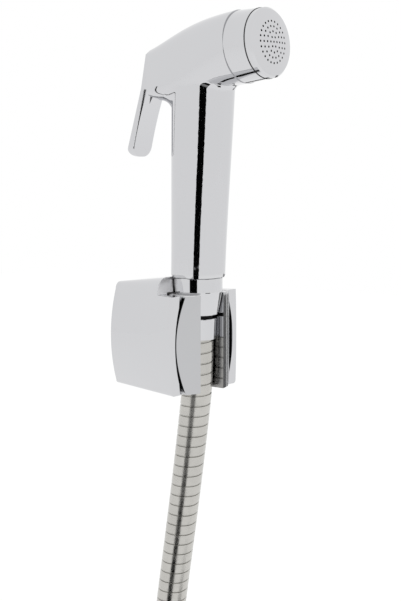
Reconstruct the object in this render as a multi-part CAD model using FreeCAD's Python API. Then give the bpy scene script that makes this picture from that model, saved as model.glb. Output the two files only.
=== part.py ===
# Handheld bidet shower resting in its wall holder, with its metal hose.
# Millimetres. +Z up, the wall is the plane Y = 0 and the shower stands on the -Y side of it.
# "forward" is the distance from the wall, so a point lies at Y = -forward.
import FreeCAD, Part
import math
import os

V = FreeCAD.Vector
FORWARD = V(0, -1, 0)
UP = V(0, 0, 1)
SIDE = V(1, 0, 0)

# Wall holder
holder_depth = 46.0
wall_face_half = 16.6
wall_face_top = 24.0
wall_face_bottom = -26.9
front_face_half = 25.8
front_top = 29.8
front_bottom = -27.2
wall_corner = 3.5
lower_corner = 1.6
front_shoulder = 11.0
side_bulge = 3.8
front_bulge = 0.5
smallest_corner = 0.4
holder_wall = 3.0
web_start = 22.0
web_thickness = 4.0
fork_top = 20.2
hood_top = 32.5
hood_foot = 35.0
hood_clearance = 0.8
seam_gap = 0.8
fork_front_radius = 38.5
fork_nose = 51.65
fork_side_wall = 3.9
fork_side_bulge = 5.3
fork_lip = 1.5
slot_half = 9.0
slot_back = 30.0
peg_radius = 3.0
peg_fit = 0.02
plate_thickness = 4.5
plate_fit = 0.15
wall_screw_spacing = 26.0
wall_screw_hole = 2.3
wall_screw_head = 4.2
wall_screw_sink = 1.8
grub_radius = 2.0
grub_fit = 0.03
grub_length = 5.5
grub_recess = 0.6
grub_socket_depth = 1.6

# Conical swivel nut of the hose, which rests in the holder's fork
shower_forward = 42.0
thread_radius = 10.48
thread_fit = 0.04
nut_radius = 11.9
nut_cylinder = 7.0
nut_bottom_radius = 9.7
nut_cone = 11.0
seat_fit = 0.03
nut_above_fork = 0.6
nut_cone_step = 0.15
nut_edge = 0.3
nut_throat = 7.2
nut_shelf = 4.5
nut_chamber = 9.0
nut_chamber_top = 1.0
ferrule_gap = 1.7
ferrule_top_radius = 8.9
ferrule_bottom_radius = 8.4
ferrule_length = 10.3
ferrule_edge = 0.4
ferrule_flange = 8.8
ferrule_flange_thickness = 1.5
ferrule_fit = 0.15
hose_bore = 3.5
washer_thickness = 2.0
washer_hole = 4.6
washer_edge = 8.6

# Shank of the hand shower with the non-return valve and the strainer
shank_bore = 5.0
shank_upper_bore = 6.2
shank_mouth = 8.7
shank_above_radius = 9.0
shank_into_grip = 20.0
shank_shoulder_drop = 0.8
shank_mouth_depth = 1.2
shank_step = 4.0
cage_radius = 6.15
cage_bore = 4.6
cage_start = 6.0
cage_length = 12.0
cage_seat_bore = 3.0
cage_seat_thickness = 1.5
cage_stop_thickness = 1.2
cage_hole_circle = 3.2
cage_hole = 0.9
poppet_radius = 3.9
poppet_thickness = 1.6
poppet_tail_radius = 1.2
poppet_tail = 4.0
strainer_drop = 2.0
strainer_rim_radius = 7.6
strainer_cup_radius = 4.6
strainer_bore = 4.0
strainer_sheet = 0.6
strainer_depth = 3.0
strainer_hole_circle = 2.5
strainer_hole = 0.7

# Hand shower
handle_bottom_gap = 0.2
handle_end_chamfer = 1.4
head_length = 52.4
head_rear = 17.0
head_tilt = 5.0
head_centre_z = 136.5
head_half = 16.95
head_edge_flat = 1.2
band_length = 11.4
band_spigot = 6.0
band_spigot_wall = 1.7
band_fit = 0.1
band_mouth_depth = 5.0
cap_length = 3.6
cap_radius = 16.1
cap_gap = 0.25
cap_bevel = 0.9
cap_dome = 1.6
cap_dome_rim = 1.2
cap_wall = 1.6
cap_skirt = 4.0
cap_skirt_wall = 1.55
cap_skirt_fit = 0.05
nozzle_radius = 0.5
nozzle_ring_step = 2.4
nozzle_rings = 4
disc_thickness = 1.6
disc_distance = 3.4
disc_hole = 1.2
disc_hole_circle = 8.0
disc_holes = 8
head_wall = 2.4
head_chamber_depth = 10.0
seal_ring = 1.5
riser_forward = 44.0
water_channel = 4.5
valve_port = 2.6
head_port = 3.6
port_forward = 31.8
neck_fillet_rear = 7.5
neck_fillet_front = 3.5
slot_floor = 100.0

# Grip, from below: height, shift forward, half width across, half width forward, corner
GRIP = (
    (60.0, 1.0, 12.1, 13.0, 9.8),
    (87.0, 2.0, 12.4, 14.0, 10.4),
    (113.0, 3.0, 12.7, 14.8, 11.0),
    (130.0, 3.5, 12.9, 15.2, 11.4),
)
grip_end_half = 11.8
grip_end_depth = 12.2
grip_end_corner = 9.2

# Head, from the back: forward, underside, top, half width across, corner
HEAD = (
    (head_rear, 113.8, 137.3, 8.6, 5.0),
    (30.0, 112.5, 142.3, 11.6, 7.5),
    (45.0, 115.0, 147.9, 14.4, 10.0),
    (58.0, 118.2, 151.2, 16.4, 12.5),
)

# Back of the head behind the lever, from below: forward and height
HEAD_BACK = ((11.6, 108.0), (14.8, 134.5), (20.0, 142.0), (22.0, 160.0))

# Lever and valve
lever_width = 13.3
lever_fit = 0.35
lever_thickness = 3.4
lever_tip_forward = 3.0
lever_bend_z = 118.5
lever_bend_forward = 11.9
lever_tip_radius = 5.0
lever_rib_half = 2.2
lever_length = 47.0
lever_heel_forward = 15.0
lever_knee_drop = 2.5
lever_hollow = 0.7
lever_nose_radius = 1.9
lever_nose_gap = 0.05
pin_radius = 1.5
pin_fit = 0.03
pin_blind_end = 8.2
pin_open_end = 8.9
pivot_forward = 19.5
boss_radius = 2.9
pivot_z = 132.6
valve_z = 122.2
valve_radius = 6.4
valve_fit = 0.05
valve_start = 24.0
valve_end = 51.0
valve_end_wall = 1.4
inlet_chamber_start = 29.0
inlet_chamber = 3.6
seat_bore = 2.9
outlet_chamber = 4.6
valve_side_port = 2.2
valve_foot_port = 2.8
stem_radius = 2.0
stem_fit = 0.04
stem_tip = 20.0
stem_disc = 1.5
stem_tail = 5.0
stem_tail_radius = 1.5
ring_radius = 3.1
ring_fit = 0.05
ring_length = 1.8
ring_groove = 2.0
bonnet_play = 0.2
bonnet_bore_fit = 0.3
seat_forward = 36.0
seat_thickness = 1.5
seal_radius = 3.9
seal_thickness = 2.0
spring_radius = 2.9
spring_wire = 0.35
spring_turns = 4
spring_fit = 0.02

# Rib under the lever, from below: forward and height
RIB = ((10.0, 105.5), (16.5, 116.0), (18.9, 121.0), (19.2, 129.6), (15.0, 124.0))

# Hose with its far end
hose_radius = 7.4
coil_ring_radius = 74.2
coil_turns = 2
coil_strand_gap = 0.5
hose_tail = 62.0
tie_thickness = 1.2
tie_width = 9.0
tie_fit = 0.3
end_ferrule_radius = 8.6
end_ferrule_length = 12.0
end_neck_radius = 6.6
end_neck_fit = 0.08
end_flange_radius = 9.6
end_flange_thickness = 1.5
end_flange_play = 0.3
end_edge = 0.6
end_washer_edge = 9.8
nut_across_flats = 24.0
nut_floor = 3.0
nut_thread_depth = 7.0
nut_chamber_depth = 4.0
nut_chamber_radius = 10.1

nut_cone_top = fork_top + nut_above_fork
nut_top = nut_cone_top + nut_cylinder
nut_bottom = nut_cone_top - nut_cone
ferrule_top = nut_bottom - ferrule_gap
ferrule_bottom = ferrule_top - ferrule_length
web_end = web_start + web_thickness
ferrule_shelf = nut_bottom + nut_shelf
washer_low = ferrule_shelf + ferrule_flange_thickness
overcut = 5.0
slot_end = pivot_forward + boss_radius + lever_fit


def at(x, forward, z):
    """Point given by its distance from the wall."""
    return V(x, -forward, z)


def rod(radius, length, start, axis):
    """Solid cylinder."""
    return Part.makeCylinder(radius, length, start, axis)


def pipe(outer, inner, length, start, axis):
    """Plain ring or tube."""
    return rod(outer, length, start, axis).cut(rod(inner, length, start, axis))


def turned(profile, forward):
    """Solid of revolution about the upright line at this distance from the wall."""
    points = [at(radius, forward, z) for radius, z in profile]
    face = Part.Face(Part.makePolygon(points + points[:1]))
    return face.revolve(at(0, forward, 0), UP, 360)


def block(half_x, forward_from, forward_to, z_low, z_high):
    """Box centred on the plane of symmetry."""
    corner = at(-half_x, forward_to, z_low)
    return Part.makeBox(2 * half_x, forward_to - forward_from, z_high - z_low, corner)


def side_profile(points, half_x):
    """Closed outline in the plane of symmetry, made as wide as asked."""
    outline = [at(-half_x, forward, z) for forward, z in points]
    face = Part.Face(Part.makePolygon(outline + outline[:1]))
    return face.extrude(V(2 * half_x, 0, 0))


def export(name, shape):
    """Writes one piece to its own file."""
    solids = shape.Solids
    part = solids[0] if len(solids) == 1 else Part.makeCompound(solids)
    print(name, "solids", len(solids), "volume", round(shape.Volume, 1), "valid", shape.isValid())
    part.exportStep("parts/" + name + ".step")


def block_outline(forward, half_end, bulge, z_low, z_high, r_top, r_low):
    """Upright outline with rounded corners and sides that bulge at mid height."""
    z_mid = (z_low + z_high) / 2
    lean = math.sqrt(0.5)

    def corner(side, z_corner, radius, up):
        inner_x = side * (half_end - radius)
        inner_z = z_corner - up * radius
        return (
            at(inner_x, forward, z_corner),
            at(inner_x + side * radius * lean, forward, inner_z + up * radius * lean),
            at(side * half_end, forward, inner_z),
        )

    top_right = corner(1, z_high, r_top, 1)
    top_left = corner(-1, z_high, r_top, 1)
    low_right = corner(1, z_low, r_low, -1)
    low_left = corner(-1, z_low, r_low, -1)
    right_mid = at(half_end + bulge, forward, z_mid)
    left_mid = at(-half_end - bulge, forward, z_mid)
    edges = [
        Part.LineSegment(low_left[0], low_right[0]).toShape(),
        Part.Arc(*low_right).toShape(),
        Part.Arc(low_right[2], right_mid, top_right[2]).toShape(),
        Part.Arc(*reversed(top_right)).toShape(),
        Part.LineSegment(top_right[0], top_left[0]).toShape(),
        Part.Arc(*top_left).toShape(),
        Part.Arc(top_left[2], left_mid, low_left[2]).toShape(),
        Part.Arc(*reversed(low_left)).toShape(),
    ]
    return Part.Wire(edges)


def holder_section(forward, inset):
    """Outline of the holder at one distance from the wall, drawn in by the inset."""
    share = forward / holder_depth

    def between(at_wall, at_front):
        return at_wall + (at_front - at_wall) * share

    half_end = between(wall_face_half - side_bulge, front_face_half - front_bulge)
    bulge = between(side_bulge, front_bulge)
    z_low = between(wall_face_bottom, front_bottom)
    z_high = between(wall_face_top, front_top)
    r_top = max(between(wall_corner, front_shoulder) - inset, smallest_corner)
    r_low = max(lower_corner - inset, smallest_corner)
    return block_outline(forward, half_end - inset, bulge, z_low + inset, z_high - inset, r_top, r_low)


def holder_loft(start, end, inset):
    """Tapered block between two of the holder's outlines."""
    return Part.makeLoft([holder_section(start, inset), holder_section(end, inset)], True, True)


def fork_section(forward, spare):
    """Barrel-shaped outline of the fork, a side wall inside the holder's outline."""
    share = forward / holder_depth
    outer = wall_face_half + (front_face_half - wall_face_half) * share
    half_end = outer - fork_side_wall - fork_side_bulge + spare
    z_low = wall_face_bottom + (front_bottom - wall_face_bottom) * share - spare
    z_high = fork_top + spare
    return block_outline(forward, half_end, fork_side_bulge, z_low, z_high, smallest_corner, smallest_corner)


def fork_loft(start, end, spare):
    """Tapered barrel between two of the fork's outlines."""
    return Part.makeLoft([fork_section(start, spare), fork_section(end, spare)], True, True)


def make_holder_body():
    """Chromed shell: flared block with a hood round the nut and a hollow back."""
    shell = holder_loft(0, holder_depth, 0)
    above = front_top + overcut
    beyond = holder_depth + overcut
    hood_lean = (hood_foot - hood_top) / (front_top - fork_top)
    hood_beyond = hood_foot - hood_lean * (above - fork_top)
    opening = ((hood_foot, fork_top), (hood_beyond, above), (beyond, above), (beyond, fork_top))
    shell = shell.cut(side_profile(opening, front_face_half * 2))
    nut_space = rod(nut_radius + hood_clearance, front_top, at(0, shower_forward, fork_top), UP)
    shell = shell.cut(nut_space)
    shell = shell.cut(holder_loft(0, web_start, holder_wall))
    shell = shell.cut(fork_loft(web_end, beyond, seam_gap))
    shell = shell.cut(block(slot_half, slot_back, beyond, front_bottom - overcut, 0))
    shell = shell.cut(rod(peg_radius + peg_fit, web_thickness, at(0, web_start, 0), FORWARD))
    grub_start = at(0, plate_thickness / 2, wall_face_bottom - overcut)
    return shell.cut(rod(grub_radius + grub_fit, overcut + holder_wall * 2, grub_start, UP))


def make_holder_fork():
    """Insert with the conical seat, the hose slot and a rounded front."""
    beyond = fork_nose + overcut
    below = front_bottom - overcut
    above = fork_top + overcut
    fork = fork_loft(web_end, beyond, 0)
    nose = rod(fork_front_radius, above - below, at(0, fork_nose - fork_front_radius, below), UP)
    fork = fork.common(nose)
    slope = (nut_radius - nut_cone_step - nut_bottom_radius) / nut_cone
    seat_low = nut_bottom - fork_lip
    low_radius = nut_bottom_radius - slope * fork_lip + seat_fit
    high_radius = low_radius + slope * (above - seat_low)
    seat = Part.makeCone(low_radius, high_radius, above - seat_low, at(0, shower_forward, seat_low), UP)
    fork = fork.cut(seat)
    fork = fork.cut(rod(slot_half, seat_low - below, at(0, shower_forward, below), UP))
    fork = fork.cut(block(slot_half, shower_forward, beyond, below, above))
    peg = rod(peg_radius, web_thickness, at(0, web_end, 0), -FORWARD)
    return fork.fuse(peg).removeSplitter()


def make_wall_plate():
    """Hidden plate that screws to the wall and carries the shell."""
    plate = holder_loft(0, plate_thickness, holder_wall + plate_fit)
    for side in (-1, 1):
        centre = at(0, 0, side * wall_screw_spacing / 2)
        sink = at(0, plate_thickness - wall_screw_sink, side * wall_screw_spacing / 2)
        plate = plate.cut(rod(wall_screw_hole, plate_thickness, centre, FORWARD))
        plate = plate.cut(rod(wall_screw_head, wall_screw_sink, sink, FORWARD))
    start = at(0, plate_thickness / 2, wall_face_bottom)
    return plate.cut(rod(grub_radius + grub_fit, grub_recess + grub_length + plate_fit, start, UP))


def make_grub_screw():
    """Set screw that locks the shell to the wall plate from below."""
    start = at(0, plate_thickness / 2, wall_face_bottom + grub_recess)
    screw = rod(grub_radius, grub_length, start, UP)
    return screw.cut(rod(grub_radius / 2, grub_socket_depth, start, UP))


def rounded_rectangle(centre, half_x, half_y, radius, turn):
    """Wire with rounded corners; turn carries it from the level plane to its own."""
    lean = math.sqrt(0.5)
    radius = min(radius, half_x - 0.3, half_y - 0.3)
    corners = []
    for sx, sy in ((1, 1), (-1, 1), (-1, -1), (1, -1)):
        cx = sx * (half_x - radius)
        cy = sy * (half_y - radius)
        first = V(cx + sx * radius, cy, 0)
        middle = V(cx + sx * radius * lean, cy + sy * radius * lean, 0)
        last = V(cx, cy + sy * radius, 0)
        corners.append((first, middle, last) if sx * sy > 0 else (last, middle, first))
    edges = []
    for index, arc in enumerate(corners):
        following = corners[(index + 1) % 4]
        edges.append(Part.Arc(*arc).toShape())
        edges.append(Part.LineSegment(arc[2], following[0]).toShape())
    wire = Part.Wire(edges)
    wire.Placement = FreeCAD.Placement(centre, turn)
    return wire


LEVEL = FreeCAD.Rotation()
FACING = FreeCAD.Rotation(SIDE, 90)
head_axis = V(0, -math.cos(math.radians(head_tilt)), math.sin(math.radians(head_tilt)))
head_turn = FreeCAD.Rotation(SIDE, 90 - head_tilt)
body_front = at(0, head_rear + head_length, head_centre_z)
band_front = body_front + head_axis * band_length
cap_front = band_front + head_axis * cap_length
up_across = head_axis.cross(SIDE)
skirt_radius = cap_radius - cap_wall - cap_skirt_wall / 2


def handle_loft():
    """Grip with an upright back and a front that tapers towards the hose."""
    bottom = nut_top + handle_bottom_gap
    shrink = nut_cone_step * 2

    def section(z, shift, half_x, half_y, corner):
        return rounded_rectangle(at(0, shower_forward + shift, z), half_x, half_y, corner, LEVEL)

    foot = section(bottom, 0, grip_end_half - shrink, grip_end_depth - shrink, grip_end_corner)
    above_foot = section(bottom + handle_end_chamfer, 0, grip_end_half, grip_end_depth, grip_end_corner)
    end = Part.makeLoft([foot, above_foot], True, True)
    grip = Part.makeLoft([above_foot] + [section(*row) for row in GRIP], True, False)
    return end.fuse(grip)


def head_loft():
    """Head that grows from the narrow back to the round spray end."""
    wires = []
    for forward, z_low, z_high, half_x, corner in HEAD:
        centre = at(0, forward, (z_low + z_high) / 2)
        wires.append(rounded_rectangle(centre, half_x, (z_high - z_low) / 2, corner, FACING))
    wires.append(rounded_rectangle(body_front, head_half, head_half, head_half - head_edge_flat, head_turn))
    return Part.makeLoft(wires, True, False)


def neck_radius(forward):
    """Fillet where grip and head meet: large at the back, smaller at the front."""
    share = (forward - shower_forward + 1) / 8
    share = min(max(share, 0), 1)
    return neck_fillet_rear + (neck_fillet_front - neck_fillet_rear) * share


def with_neck_fillet(body):
    """Rounds the edges where the head's underside meets the grip."""
    under_head = head_centre_z - head_half
    chosen = []
    for number, edge in enumerate(body.Edges, 1):
        box = edge.BoundBox
        along = shower_forward - 15 < -box.YMax and -box.YMin < shower_forward + 20
        if along and under_head - 10 < box.ZMin and box.ZMax < under_head + 3:
            start = edge.valueAt(edge.FirstParameter)
            end = edge.valueAt(edge.LastParameter)
            chosen.append((number, neck_radius(-start.y), neck_radius(-end.y)))
    document = FreeCAD.newDocument("neck")
    base = document.addObject("Part::Feature", "base")
    base.Shape = body
    fillet = document.addObject("Part::Fillet", "fillet")
    fillet.Base = base
    fillet.Edges = chosen
    document.recompute()
    return fillet.Shape


def make_handset_body():
    """One-piece moulding: grip, head, waterway, valve chamber and lever slot."""
    body = head_loft().fuse(handle_loft()).removeSplitter()
    body = with_neck_fillet(body)
    behind = ((0, HEAD_BACK[-1][1]), (0, HEAD_BACK[0][1])) + HEAD_BACK
    body = body.cut(side_profile(behind, head_half * 2))
    slot_roof = pivot_z + boss_radius + lever_fit * 2
    body = body.cut(block(lever_width / 2 + lever_fit, 0, slot_end, slot_floor, slot_roof))
    body = body.cut(rod(pin_radius, head_half * 2, V(-pin_blind_end, -pivot_forward, pivot_z), SIDE))
    chamber_length = valve_end - slot_end + 1
    body = body.cut(rod(valve_radius + valve_fit, chamber_length, at(0, slot_end - 1, valve_z), FORWARD))
    body = body.cut(rod(water_channel, valve_z - nut_top, at(0, riser_forward, nut_top), UP))
    shank_hole = shank_above_radius + thread_fit * 2
    body = body.cut(rod(shank_hole, shank_into_grip + 2, at(0, shower_forward, nut_top), UP))
    duct_z = head_centre_z - head_port / 4
    body = body.cut(rod(valve_port, duct_z - valve_z, at(0, port_forward, valve_z), UP))
    duct_start = at(0, port_forward - valve_port, duct_z)
    body = body.cut(rod(head_port, head_rear + head_length - port_forward, duct_start, head_axis))
    chamber_start = body_front - head_axis * head_chamber_depth
    return body.cut(rod(head_half - head_wall, head_chamber_depth + 2, chamber_start, head_axis))


def make_head_band():
    """Ring between the body and the spray cap."""
    outer = Part.makeCone(head_half - band_fit, cap_radius + band_fit, band_length, body_front, head_axis)
    spigot_radius = head_half - head_wall - band_fit
    spigot_start = body_front - head_axis * band_spigot
    spigot = rod(spigot_radius, band_spigot, spigot_start, head_axis)
    bore = rod(spigot_radius - band_spigot_wall, band_length + band_spigot, spigot_start, head_axis)
    mouth_start = band_front - head_axis * band_mouth_depth
    mouth = rod(skirt_radius + cap_skirt_fit, band_mouth_depth, mouth_start, head_axis)
    return outer.fuse(spigot).cut(bore).cut(mouth)


def make_spray_cap():
    """Domed cap with rings of spray holes; its skirt plugs into the band."""
    base = band_front + head_axis * cap_gap
    cap = rod(cap_radius, cap_length - cap_gap, base, head_axis)
    rims = [edge for edge in cap.Edges if edge.CenterOfMass.distanceToPoint(cap_front) < cap_gap]
    cap = cap.makeChamfer(cap_bevel, rims)
    face_radius = cap_radius - cap_dome_rim
    dome_radius = (face_radius * face_radius + cap_dome * cap_dome) / (2 * cap_dome)
    dome = Part.makeSphere(dome_radius, cap_front + head_axis * (cap_dome - dome_radius))
    cover = rod(face_radius, cap_dome * 2, cap_front - head_axis * cap_bevel, head_axis)
    cap = cap.fuse(dome.common(cover))
    skirt_start = base - head_axis * cap_skirt
    cap = cap.fuse(rod(skirt_radius, cap_skirt + cap_gap, skirt_start, head_axis))
    cap = cap.cut(rod(skirt_radius - cap_skirt_wall, cap_skirt + cap_wall, skirt_start, head_axis))
    holes = []
    for ring in range(nozzle_rings + 1):
        for index in range(max(1, 6 * ring)):
            angle = math.pi / 3 * index / max(1, ring)
            offset = SIDE * math.cos(angle) + up_across * math.sin(angle)
            start = cap_front - head_axis * cap_length + offset * (ring * nozzle_ring_step)
            holes.append(rod(nozzle_radius, cap_length + cap_dome * 2, start, head_axis))
    return cap.cut(Part.makeCompound(holes)).removeSplitter()


def make_flow_disc():
    """Disc behind the cap that spreads the water over the spray holes."""
    start = band_front - head_axis * disc_distance
    disc = rod(skirt_radius - cap_skirt_wall - cap_skirt_fit * 2, disc_thickness, start, head_axis)
    for index in range(disc_holes):
        angle = 2 * math.pi * index / disc_holes
        offset = SIDE * math.cos(angle) + up_across * math.sin(angle)
        disc = disc.cut(rod(disc_hole, disc_thickness, start + offset * disc_hole_circle, head_axis))
    return disc


def make_cap_seal():
    """Rubber ring that seals the band in the body."""
    outer = head_half - head_wall - band_fit
    start = body_front - head_axis * (band_spigot + seal_ring)
    return pipe(outer, outer - band_spigot_wall, seal_ring, start, head_axis)


def make_valve_body():
    """Cartridge with the stem guide, the seat and two side ports."""
    seat_start = seat_forward - seat_thickness
    outlet_end = valve_end - valve_end_wall
    stages = (
        (ring_radius + ring_fit, valve_start, valve_start + ring_groove),
        (stem_radius + stem_fit, valve_start, inlet_chamber_start),
        (inlet_chamber, inlet_chamber_start, seat_start),
        (seat_bore, seat_start, seat_forward),
        (outlet_chamber, seat_forward, outlet_end),
    )
    body = rod(valve_radius, valve_end - valve_start, at(0, valve_start, valve_z), FORWARD)
    for radius, start, end in stages:
        body = body.cut(rod(radius, end - start, at(0, start, valve_z), FORWARD))
    body = body.cut(rod(valve_side_port, valve_radius * 2, at(0, port_forward, valve_z), UP))
    return body.cut(rod(valve_foot_port, valve_radius * 2, at(0, riser_forward, valve_z), -UP))


def make_valve_stem():
    """Push rod with the disc that carries the seal and a tail inside the spring."""
    disc_start = seat_forward + seal_thickness
    round_end = stem_tip + stem_radius
    stem = rod(stem_radius, disc_start - round_end, at(0, round_end, valve_z), FORWARD)
    stem = stem.fuse(Part.makeSphere(stem_radius, at(0, round_end, valve_z)))
    disc = rod(seal_radius, stem_disc, at(0, disc_start, valve_z), FORWARD)
    tail = rod(stem_tail_radius, stem_tail, at(0, disc_start + stem_disc, valve_z), FORWARD)
    return stem.fuse(disc).fuse(tail)


def make_valve_seal():
    """Rubber washer that closes on the seat."""
    return pipe(seal_radius, stem_radius, seal_thickness, at(0, seat_forward, valve_z), FORWARD)


def make_stem_ring():
    """Rubber ring round the stem at the mouth of the cartridge."""
    start = at(0, valve_start + ring_fit, valve_z)
    return pipe(ring_radius, stem_radius + spring_fit, ring_length, start, FORWARD)


def make_valve_bonnet():
    """Threaded ring that holds the cartridge in the body."""
    start = at(0, slot_end + bonnet_play, valve_z)
    length = valve_start - slot_end - bonnet_play
    return pipe(valve_radius, stem_radius + bonnet_bore_fit, length, start, FORWARD)


def make_valve_spring():
    """Compression spring between the stem's disc and the cartridge's end wall."""
    start = seat_forward + seal_thickness + stem_disc + spring_wire + spring_fit
    length = valve_end - valve_end_wall - spring_wire - spring_fit - start
    helix = Part.makeHelix(length / spring_turns, length, spring_radius)
    section = Part.Wire(Part.makeCircle(spring_wire, V(spring_radius, 0, 0), V(0, 1, 0)))
    spring = Part.Wire(helix).makePipeShell([section], True, True)
    spring.Placement = FreeCAD.Placement(at(0, start, valve_z), FreeCAD.Rotation(UP, FORWARD))
    return spring


def lever_plate():
    """Lever seen from the side: straight outside, hollow towards the grip, with a rounded tip."""
    tip_z = pivot_z - lever_length
    half = lever_width / 2
    front_forward = pivot_forward + pin_radius / 3
    heel = at(-half, lever_heel_forward, pivot_z + boss_radius - lever_hollow)
    bend = at(-half, lever_bend_forward, lever_bend_z)
    tip_back = at(-half, lever_tip_forward, tip_z + lever_thickness)
    tip_mid = at(-half, lever_tip_forward + lever_thickness * 0.25, tip_z + lever_thickness * 0.3)
    tip_front = at(-half, lever_tip_forward + lever_thickness, tip_z)
    knee = at(-half, lever_bend_forward + lever_thickness, lever_bend_z - lever_knee_drop)
    hollow = (tip_front + knee) / 2 + at(0, -lever_hollow, 0)
    neck = at(-half, front_forward - pin_radius, valve_z + lever_nose_radius)
    front = at(-half, front_forward, pivot_z - pin_radius)
    crown = at(-half, front_forward, pivot_z + boss_radius)
    top = at(-half, lever_heel_forward + pin_radius, pivot_z + boss_radius + lever_fit)
    wire = Part.Wire([
        Part.LineSegment(heel, bend).toShape(),
        Part.LineSegment(bend, tip_back).toShape(),
        Part.Arc(tip_back, tip_mid, tip_front).toShape(),
        Part.Arc(tip_front, hollow, knee).toShape(),
        Part.LineSegment(knee, neck).toShape(),
        Part.LineSegment(neck, front).toShape(),
        Part.LineSegment(front, crown).toShape(),
        Part.LineSegment(crown, top).toShape(),
        Part.LineSegment(top, heel).toShape(),
    ])
    return Part.Face(wire).extrude(V(lever_width, 0, 0))


def make_lever():
    """Trigger lever: plate, pivot boss and a rib whose nose pushes the stem."""
    half = lever_width / 2
    tip_z = pivot_z - lever_length
    plate = lever_plate()
    front_view = block(half, 0, shower_forward, tip_z + lever_tip_radius, pivot_z + overcut)
    foot = block(half - lever_tip_radius, 0, shower_forward, tip_z, tip_z + lever_tip_radius)
    for side in (-1, 1):
        centre = at(side * (half - lever_tip_radius), 0, tip_z + lever_tip_radius)
        foot = foot.fuse(rod(lever_tip_radius, shower_forward, centre, FORWARD))
    plate = plate.common(front_view.fuse(foot).removeSplitter())
    boss = rod(boss_radius, lever_width, V(-half, -pivot_forward, pivot_z), SIDE)
    rib = side_profile(RIB, lever_rib_half)
    nose_forward = stem_tip - lever_nose_gap - lever_nose_radius
    nose = rod(lever_nose_radius, 2 * lever_rib_half, V(-lever_rib_half, -nose_forward, valve_z), SIDE)
    low = valve_z - lever_nose_radius
    high = valve_z + lever_nose_radius
    bridge = block(lever_rib_half, lever_heel_forward, nose_forward, low, high)
    lever = plate.fuse(boss).fuse(rib).fuse(nose).fuse(bridge).removeSplitter()
    return lever.cut(rod(pin_radius + pin_fit, lever_width, V(-half, -pivot_forward, pivot_z), SIDE))


def make_lever_pin():
    """Steel pin, driven in from the right cheek until it meets the left one."""
    return rod(pin_radius, pin_blind_end + pin_open_end, V(-pin_blind_end, -pivot_forward, pivot_z), SIDE)


def make_inlet_connector():
    """Threaded shank at the foot of the grip with a seat for the filter."""
    shoulder = nut_cone_top - shank_shoulder_drop
    mouth = shoulder - shank_mouth_depth
    into_grip = nut_top + shank_into_grip
    profile = (
        (shank_bore, mouth),
        (shank_mouth, mouth),
        (shank_mouth, shoulder),
        (thread_radius - thread_fit, shoulder),
        (thread_radius - thread_fit, nut_top + handle_bottom_gap),
        (shank_above_radius, nut_top + handle_bottom_gap),
        (shank_above_radius, into_grip),
        (shank_upper_bore, into_grip),
        (shank_upper_bore, shoulder + shank_step),
        (shank_bore, shoulder + shank_step),
    )
    return turned(profile, shower_forward)


def make_check_valve():
    """Cage of the non-return valve inside the shank."""
    low = nut_cone_top + cage_start
    stop_low = low + cage_length - cage_stop_thickness
    cage = pipe(cage_radius, cage_bore, cage_length, at(0, shower_forward, low), UP)
    seat = pipe(cage_bore, cage_seat_bore, cage_seat_thickness, at(0, shower_forward, low), UP)
    stop = rod(cage_bore, cage_stop_thickness, at(0, shower_forward, stop_low), UP)
    for index in range(4):
        angle = math.pi / 2 * index
        across = cage_hole_circle * math.cos(angle)
        forward = shower_forward + cage_hole_circle * math.sin(angle)
        stop = stop.cut(rod(cage_hole, cage_stop_thickness, at(across, forward, stop_low), UP))
    return cage.fuse(seat).fuse(stop).removeSplitter()


def make_check_poppet():
    """Disc of the non-return valve, resting on its seat."""
    low = nut_cone_top + cage_start + cage_seat_thickness
    disc = rod(poppet_radius, poppet_thickness, at(0, shower_forward, low), UP)
    tail = rod(poppet_tail_radius, poppet_tail, at(0, shower_forward, low + poppet_thickness), UP)
    return disc.fuse(tail)


def make_inlet_filter():
    """Cup strainer in the mouth of the shank."""
    low = nut_cone_top - strainer_drop
    cover_low = low + strainer_depth
    rim_low = at(0, shower_forward, low - strainer_sheet)
    rim = pipe(strainer_rim_radius, strainer_bore, strainer_sheet, rim_low, UP)
    cup = pipe(strainer_cup_radius, strainer_bore, strainer_depth, at(0, shower_forward, low), UP)
    cover = rod(strainer_cup_radius, strainer_sheet, at(0, shower_forward, cover_low), UP)
    for index in range(6):
        angle = math.pi / 3 * index
        across = strainer_hole_circle * math.cos(angle)
        forward = shower_forward + strainer_hole_circle * math.sin(angle)
        cover = cover.cut(rod(strainer_hole, strainer_sheet, at(across, forward, cover_low), UP))
    return rim.fuse(cup).fuse(cover).removeSplitter()


def make_hose_nut_top():
    """Conical nut that screws onto the shank and sits in the fork."""
    chamber_top = nut_cone_top - nut_chamber_top
    profile = (
        (nut_throat, nut_bottom),
        (nut_bottom_radius - nut_edge, nut_bottom),
        (nut_bottom_radius, nut_bottom + nut_edge),
        (nut_radius - nut_cone_step, nut_cone_top),
        (nut_radius, nut_cone_top + nut_edge),
        (nut_radius, nut_top - nut_edge),
        (nut_radius - nut_edge, nut_top),
        (thread_radius, nut_top),
        (thread_radius, chamber_top),
        (nut_chamber, chamber_top),
        (nut_chamber, ferrule_shelf),
        (nut_throat, ferrule_shelf),
    )
    return turned(profile, shower_forward)


def make_hose_ferrule_top():
    """Ferrule crimped on the hose; its flange turns inside the nut."""
    profile = (
        (hose_bore, ferrule_bottom),
        (ferrule_bottom_radius, ferrule_bottom),
        (ferrule_top_radius, ferrule_top - ferrule_edge),
        (ferrule_top_radius - ferrule_edge, ferrule_top),
        (nut_throat - ferrule_fit, ferrule_top),
        (nut_throat - ferrule_fit, ferrule_shelf),
        (ferrule_flange, ferrule_shelf),
        (ferrule_flange, washer_low),
        (hose_bore, washer_low),
    )
    return turned(profile, shower_forward)


def make_hose_washer_top():
    """Flat rubber washer between the ferrule's flange and the strainer's rim."""
    high = nut_cone_top - strainer_drop - strainer_sheet
    return pipe(washer_edge, washer_hole, high - washer_low, at(0, shower_forward, washer_low), UP)


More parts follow.
